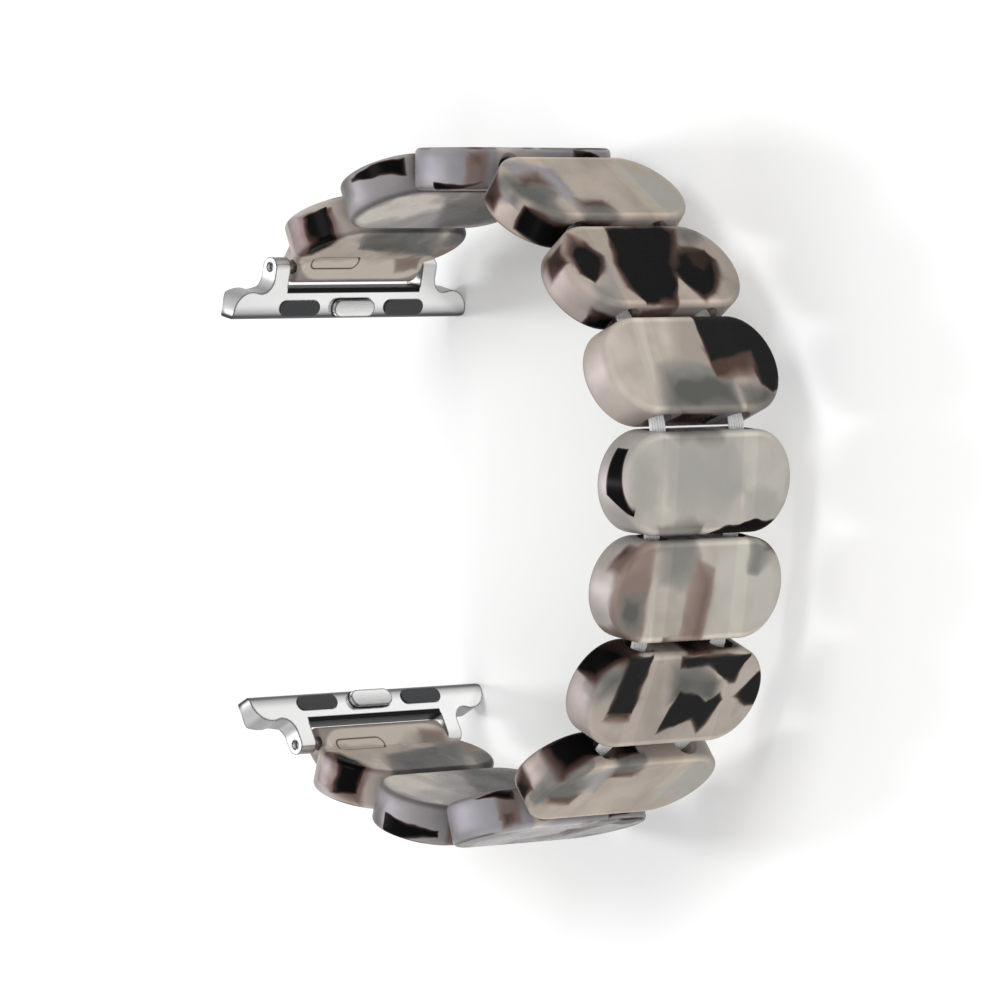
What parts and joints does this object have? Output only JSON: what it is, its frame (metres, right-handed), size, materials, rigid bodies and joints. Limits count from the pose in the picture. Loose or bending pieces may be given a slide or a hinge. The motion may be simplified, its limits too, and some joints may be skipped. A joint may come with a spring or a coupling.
{
  "type": "watch strap",
  "caption": "Curved watch strap of oval tortoiseshell resin links strung on elastic cords, with a swinging polished steel slide-in adapter at each end.",
  "frame": {"origin": "centre of the strap's bounding box in its curled rest pose", "axes": "+Z runs across the strap's width, towards the wearer's left end of each link in the picture; +X points out through the middle link; +Y runs from the lower adapter's half of the C to the upper adapter's half"},
  "size_m": [0.0506, 0.066, 0.0306],
  "materials": {
    "resin": "polished marbled resin, milky greige with dark brown blotches",
    "elastic": "clear elastic strands, slightly milky",
    "polished_steel": "polished stainless steel",
    "bar_steel": "turned stainless steel",
    "spring_steel": "drawn spring wire",
    "rubber_pads": "charcoal moulded rubber"
  },
  "bodies": {
    "link_07": {"link_07": "resin", "elastic_cord_left": "elastic", "elastic_cord_right": "elastic"},
    "link_02": {"link_02": "resin"},
    "link_03": {"link_03": "resin"},
    "link_04": {"link_04": "resin"},
    "link_05": {"link_05": "resin"},
    "link_06": {"link_06": "resin"},
    "link_08": {"link_08": "resin"},
    "link_09": {"link_09": "resin"},
    "link_10": {"link_10": "resin"},
    "link_11": {"link_11": "resin"},
    "link_12": {"link_12": "resin"},
    "link_01": {"link_01": "resin", "upper_cord_knot": "elastic", "upper_knot_plug": "resin", "upper_bar_tube": "bar_steel", "upper_bar_spring": "spring_steel"},
    "upper_adapter": {"upper_adapter": "polished_steel", "upper_rubber_pads": "rubber_pads", "upper_latch_spring": "spring_steel"},
    "upper_latch_button": {"upper_latch_button": "polished_steel"},
    "upper_left_bar_tip": {"upper_left_bar_tip": "bar_steel"},
    "upper_right_bar_tip": {"upper_right_bar_tip": "bar_steel"},
    "link_13": {"link_13": "resin", "lower_cord_knot": "elastic", "lower_knot_plug": "resin", "lower_bar_tube": "bar_steel", "lower_bar_spring": "spring_steel"},
    "lower_adapter": {"lower_adapter": "polished_steel", "lower_rubber_pads": "rubber_pads", "lower_latch_spring": "spring_steel"},
    "lower_latch_button": {"lower_latch_button": "polished_steel"},
    "lower_left_bar_tip": {"lower_left_bar_tip": "bar_steel"},
    "lower_right_bar_tip": {"lower_right_bar_tip": "bar_steel"}
  },
  "joints": [
    {"name": "curl_06_07", "type": "hinge", "parent": "link_07", "child": "link_06", "pos_m": [0.02196, 0.00572, 0], "axis": [0, 0, 1], "range_deg": [-30, 14], "deforming": ["elastic_cord_left", "elastic_cord_right"]},
    {"name": "curl_05_06", "type": "hinge", "parent": "link_06", "child": "link_05", "pos_m": [0.01852, 0.0149, 0], "axis": [0, 0, 1], "range_deg": [-17.5, 26.5], "deforming": ["elastic_cord_left", "elastic_cord_right"]},
    {"name": "curl_04_05", "type": "hinge", "parent": "link_05", "child": "link_04", "pos_m": [0.01276, 0.02283, 0], "axis": [0, 0, 1], "range_deg": [-16, 28], "deforming": ["elastic_cord_left", "elastic_cord_right"]},
    {"name": "curl_03_04", "type": "hinge", "parent": "link_04", "child": "link_03", "pos_m": [0.00526, 0.02913, 0], "axis": [0, 0, 1], "range_deg": [-39, 5], "deforming": ["elastic_cord_left", "elastic_cord_right"]},
    {"name": "curl_02_03", "type": "hinge", "parent": "link_03", "child": "link_02", "pos_m": [-0.00453, 0.02964, 0], "axis": [0, 0, 1], "range_deg": [-25, 19], "deforming": ["elastic_cord_left", "elastic_cord_right"]},
    {"name": "curl_01_02", "type": "hinge", "parent": "link_02", "child": "link_01", "pos_m": [-0.01374, 0.02629, 0], "axis": [0, 0, 1], "range_deg": [-2, 42], "deforming": ["elastic_cord_left", "elastic_cord_right"]},
    {"name": "curl_07_08", "type": "hinge", "parent": "link_07", "child": "link_08", "pos_m": [0.02068, -0.00399, 0], "axis": [0, 0, 1], "range_deg": [-37.5, 6.5], "deforming": ["elastic_cord_left", "elastic_cord_right"]},
    {"name": "curl_08_09", "type": "hinge", "parent": "link_08", "child": "link_09", "pos_m": [0.01864, -0.01358, 0], "axis": [0, 0, 1], "range_deg": [-27.5, 16.5], "deforming": ["elastic_cord_left", "elastic_cord_right"]},
    {"name": "curl_09_10", "type": "hinge", "parent": "link_09", "child": "link_10", "pos_m": [0.01427, -0.02235, 0], "axis": [0, 0, 1], "range_deg": [-11.5, 32.5], "deforming": ["elastic_cord_left", "elastic_cord_right"]},
    {"name": "curl_10_11", "type": "hinge", "parent": "link_10", "child": "link_11", "pos_m": [0.00605, -0.02769, 0], "axis": [0, 0, 1], "range_deg": [-21.5, 22.5], "deforming": ["elastic_cord_left", "elastic_cord_right"]},
    {"name": "curl_11_12", "type": "hinge", "parent": "link_11", "child": "link_12", "pos_m": [-0.00352, -0.02981, 0], "axis": [0, 0, 1], "range_deg": [-10, 34], "deforming": ["elastic_cord_left", "elastic_cord_right"]},
    {"name": "curl_12_13", "type": "hinge", "parent": "link_12", "child": "link_13", "pos_m": [-0.01276, -0.02654, 0], "axis": [0, 0, 1], "range_deg": [-42, 2], "deforming": ["elastic_cord_left", "elastic_cord_right"]},
    {"name": "upper_adapter_swing", "type": "hinge", "parent": "link_01", "child": "upper_adapter", "pos_m": [-0.02259, 0.02275, 0], "axis": [0, 0, 1], "range_deg": [-83.5, 56.5]},
    {"name": "upper_latch_press", "type": "slide", "parent": "upper_adapter", "child": "upper_latch_button", "axis": [-0.9636, 0.2672, 0], "range_m": [0, 0.0005], "stiffness_N_per_m": 600, "springref_m": -0.0005, "deforming": ["upper_latch_spring"]},
    {"name": "upper_left_tip_slide", "type": "slide", "parent": "link_01", "child": "upper_left_bar_tip", "axis": [0, 0, 1], "range_m": [-0.00145, 0], "stiffness_N_per_m": 300, "springref_m": 0.001, "deforming": ["upper_bar_spring"]},
    {"name": "upper_right_tip_slide", "type": "slide", "parent": "link_01", "child": "upper_right_bar_tip", "axis": [0, 0, 1], "range_m": [0, 0.00145], "stiffness_N_per_m": 300, "springref_m": -0.001, "deforming": ["upper_bar_spring"]},
    {"name": "lower_adapter_swing", "type": "hinge", "parent": "link_13", "child": "lower_adapter", "pos_m": [-0.02164, -0.02307, 0], "axis": [0, 0, 1], "range_deg": [-65.5, 74.5]},
    {"name": "lower_latch_press", "type": "slide", "parent": "lower_adapter", "child": "lower_latch_button", "axis": [-0.9063, -0.4226, 0], "range_m": [0, 0.0005], "stiffness_N_per_m": 600, "springref_m": -0.0005, "deforming": ["lower_latch_spring"]},
    {"name": "lower_left_tip_slide", "type": "slide", "parent": "link_13", "child": "lower_left_bar_tip", "axis": [0, 0, 1], "range_m": [-0.00145, 0], "stiffness_N_per_m": 300, "springref_m": 0.001, "deforming": ["lower_bar_spring"]},
    {"name": "lower_right_tip_slide", "type": "slide", "parent": "link_13", "child": "lower_right_bar_tip", "axis": [0, 0, 1], "range_m": [0, 0.00145], "stiffness_N_per_m": 300, "springref_m": -0.001, "deforming": ["lower_bar_spring"]}
  ]
}
